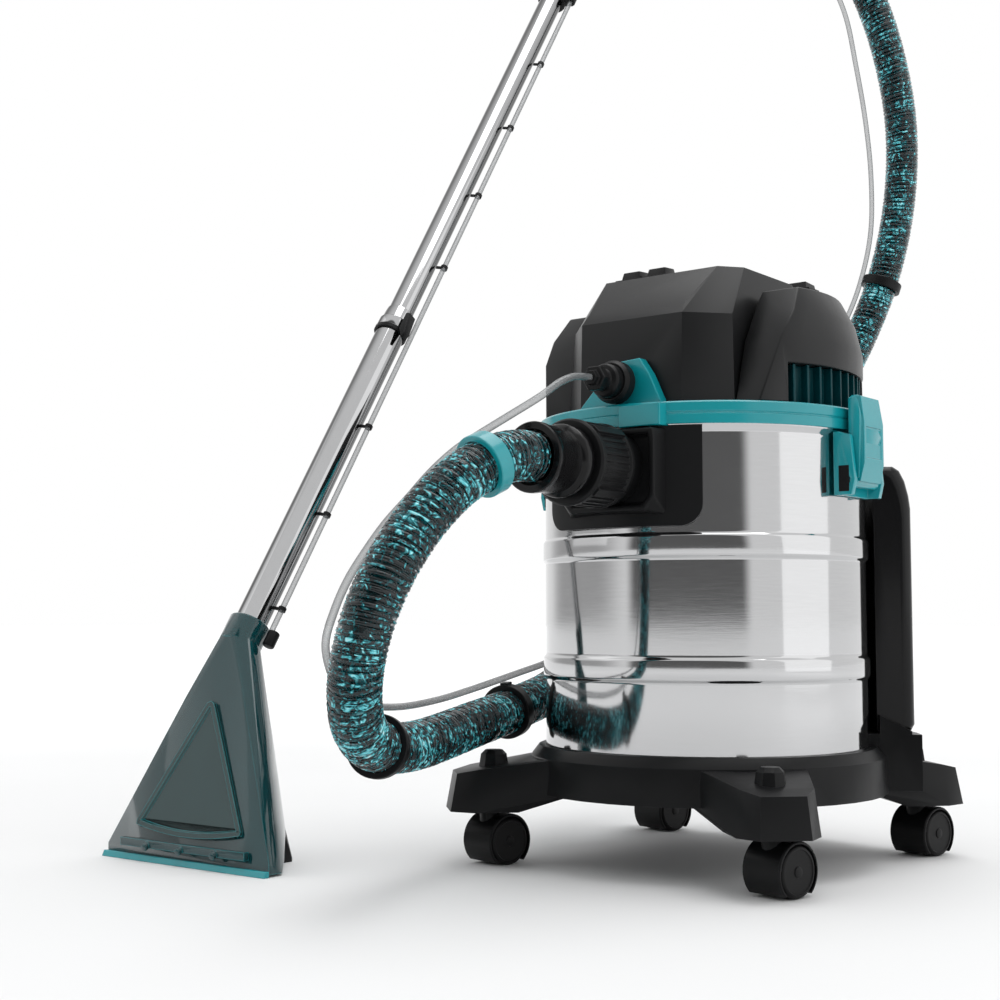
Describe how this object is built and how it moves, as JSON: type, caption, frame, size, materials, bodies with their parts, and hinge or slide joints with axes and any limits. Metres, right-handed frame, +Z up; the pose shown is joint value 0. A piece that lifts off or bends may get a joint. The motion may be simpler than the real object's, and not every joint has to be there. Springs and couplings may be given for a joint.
{
  "type": "carpet cleaner",
  "caption": "Wheeled wet-and-dry carpet cleaner: steel drum with lift-off motor head, clean-solution tank, clear hose, long wand and wide carpet nozzle.",
  "frame": {"origin": "On the floor plane, straight below the drum axis; the casters and the nozzle stand on z = 0.", "axes": "+Z up along the drum axis, the suction inlet faces -Y, +X is to the right as seen from the back."},
  "size_m": [0.6527, 1.1351, 1.1897],
  "materials": {
    "satin_black": "satin moulded black plastic",
    "gloss_black": "polished black plastic",
    "wheel_black": "matt black plastic wheels",
    "rubber_black": "matt black rubber",
    "teal": "satin teal plastic",
    "clear_teal": "clear dark teal plastic",
    "hose_teal": "clear teal ribbed hose",
    "clear_tube": "clear thin tube",
    "steel": "polished stainless steel",
    "chrome": "polished chrome tube",
    "motor_metal": "grey metal",
    "float_white": "white plastic"
  },
  "bodies": {
    "machine": {"base": "satin_black", "drum": "steel", "inlet_plate": "satin_black", "inlet_socket": "satin_black", "hose_inlet_cuff": "gloss_black", "latch_bracket_right": "teal", "latch_bracket_left": "teal", "suction_hose": "hose_teal", "solution_tube": "clear_tube", "hose_clip_inlet": "teal", "hose_clip_loop": "satin_black", "hose_clip_low": "satin_black", "hose_clip_high": "satin_black", "nozzle_body": "clear_teal", "nozzle_window": "clear_teal", "spray_bar": "teal", "suction_lip": "teal", "nozzle_skid": "satin_black", "nozzle_fitting": "satin_black", "wand_tube_lower": "chrome", "wand_tube_upper": "chrome", "wand_coupling": "satin_black", "wand_line": "clear_tube", "wand_handle": "satin_black"},
    "caster_front_right": {"caster_fork_front_right": "satin_black"},
    "wheels_front_right": {"caster_wheels_front_right": "wheel_black"},
    "caster_front_left": {"caster_fork_front_left": "satin_black"},
    "wheels_front_left": {"caster_wheels_front_left": "wheel_black"},
    "caster_rear_right": {"caster_fork_rear_right": "satin_black"},
    "wheels_rear_right": {"caster_wheels_rear_right": "wheel_black"},
    "caster_rear_left": {"caster_fork_rear_left": "satin_black"},
    "wheels_rear_left": {"caster_wheels_rear_left": "wheel_black"},
    "locking_ring": {"locking_ring": "satin_black"},
    "latch_right": {"latch_lever_right": "teal"},
    "latch_left": {"latch_lever_left": "teal"},
    "tank": {"solution_tank": "gloss_black"},
    "tank_cap": {"tank_cap": "satin_black"},
    "head": {"collar": "teal", "rim_gasket": "rubber_black", "head_housing": "satin_black", "side_shroud_right": "satin_black", "side_shroud_left": "satin_black", "exhaust_grille_right": "teal", "exhaust_grille_left": "teal", "carry_handle": "satin_black", "motor": "motor_metal", "motor_plate": "satin_black", "float_cage": "satin_black", "solution_pump": "satin_black", "outlet_plug": "satin_black", "cord_gland": "rubber_black", "quick_coupler": "satin_black"},
    "fan": {"fan_impeller": "motor_metal"},
    "float": {"float_ball": "float_white"},
    "power_button": {"power_button": "gloss_black"},
    "pump_button": {"pump_button": "gloss_black"},
    "coupler": {"coupler_sleeve": "satin_black"},
    "trigger": {"trigger": "teal"},
    "clip_lever": {"clip_lever": "satin_black"},
    "hose_swivel": {"hose_swivel_cuff": "gloss_black"}
  },
  "joints": [
    {"name": "swivel_front_right", "type": "hinge", "parent": "machine", "child": "caster_front_right", "pos_m": [0.14496, -0.14496, 0.06], "axis": [0, 0, 1], "continuous": true},
    {"name": "roll_front_right", "type": "hinge", "parent": "caster_front_right", "child": "wheels_front_right", "pos_m": [0.14683, -0.13615, 0.0215], "axis": [0.9781, -0.2079, 0], "continuous": true},
    {"name": "swivel_front_left", "type": "hinge", "parent": "machine", "child": "caster_front_left", "pos_m": [-0.14496, -0.14496, 0.06], "axis": [0, 0, 1], "continuous": true},
    {"name": "roll_front_left", "type": "hinge", "parent": "caster_front_left", "child": "wheels_front_left", "pos_m": [-0.14309, -0.13615, 0.0215], "axis": [0.9781, -0.2079, 0], "continuous": true},
    {"name": "swivel_rear_right", "type": "hinge", "parent": "machine", "child": "caster_rear_right", "pos_m": [0.14496, 0.14496, 0.06], "axis": [0, 0, 1], "continuous": true},
    {"name": "roll_rear_right", "type": "hinge", "parent": "caster_rear_right", "child": "wheels_rear_right", "pos_m": [0.14683, 0.15376, 0.0215], "axis": [0.9781, -0.2079, 0], "continuous": true},
    {"name": "swivel_rear_left", "type": "hinge", "parent": "machine", "child": "caster_rear_left", "pos_m": [-0.14496, 0.14496, 0.06], "axis": [0, 0, 1], "continuous": true},
    {"name": "roll_rear_left", "type": "hinge", "parent": "caster_rear_left", "child": "wheels_rear_left", "pos_m": [-0.14309, 0.15376, 0.0215], "axis": [0.9781, -0.2079, 0], "continuous": true},
    {"name": "inlet_lock", "type": "hinge", "parent": "machine", "child": "locking_ring", "pos_m": [0, -0.2, 0.355], "axis": [0, -1, 0], "range_deg": [0, 30]},
    {"name": "latch_right_swing", "type": "hinge", "parent": "machine", "child": "latch_right", "pos_m": [0.162, 0, 0.345], "axis": [0, 1, 0], "range_deg": [0, 100]},
    {"name": "latch_left_swing", "type": "hinge", "parent": "machine", "child": "latch_left", "pos_m": [-0.162, 0, 0.345], "axis": [0, -1, 0], "range_deg": [0, 100]},
    {"name": "tank_lift", "type": "slide", "parent": "machine", "child": "tank", "axis": [0, 0, 1], "range_m": [0, 0.1]},
    {"name": "tank_cap_turn", "type": "hinge", "parent": "tank", "child": "tank_cap", "pos_m": [0, 0.175, 0.372], "axis": [0, 0, 1], "range_deg": [0, 90]},
    {"name": "head_lift", "type": "slide", "parent": "machine", "child": "head", "axis": [0, 0, 1], "range_m": [0, 0.15]},
    {"name": "fan_spin", "type": "hinge", "parent": "head", "child": "fan", "pos_m": [0, 0, 0.42], "axis": [0, 0, 1], "continuous": true},
    {"name": "float_rise", "type": "slide", "parent": "head", "child": "float", "axis": [0, 0, 1], "range_m": [0, 0.04]},
    {"name": "power_press", "type": "slide", "parent": "head", "child": "power_button", "axis": [0, 0, -1], "range_m": [0, 0.003], "stiffness_N_per_m": 400},
    {"name": "pump_press", "type": "slide", "parent": "head", "child": "pump_button", "axis": [0, 0, -1], "range_m": [0, 0.003], "stiffness_N_per_m": 400},
    {"name": "coupler_pull", "type": "slide", "parent": "head", "child": "coupler", "axis": [0, -1, 0], "range_m": [0, 0.007]},
    {"name": "trigger_squeeze", "type": "hinge", "parent": "machine", "child": "trigger", "pos_m": [-0.356, 0.29739, 1.03081], "axis": [1, 0, 0], "range_deg": [0, 12], "stiffness_Nm_per_rad": 0.2},
    {"name": "wand_clip_flip", "type": "hinge", "parent": "machine", "child": "clip_lever", "pos_m": [-0.3358, -0.04101, 0.54813], "axis": [0, -0.8415, 0.5402], "range_deg": [0, 60]},
    {"name": "hose_swivel_turn", "type": "hinge", "parent": "machine", "child": "hose_swivel", "pos_m": [-0.356, 0.4592, 1.1135], "axis": [0, 0.9994, 0.0348], "continuous": true}
  ]
}
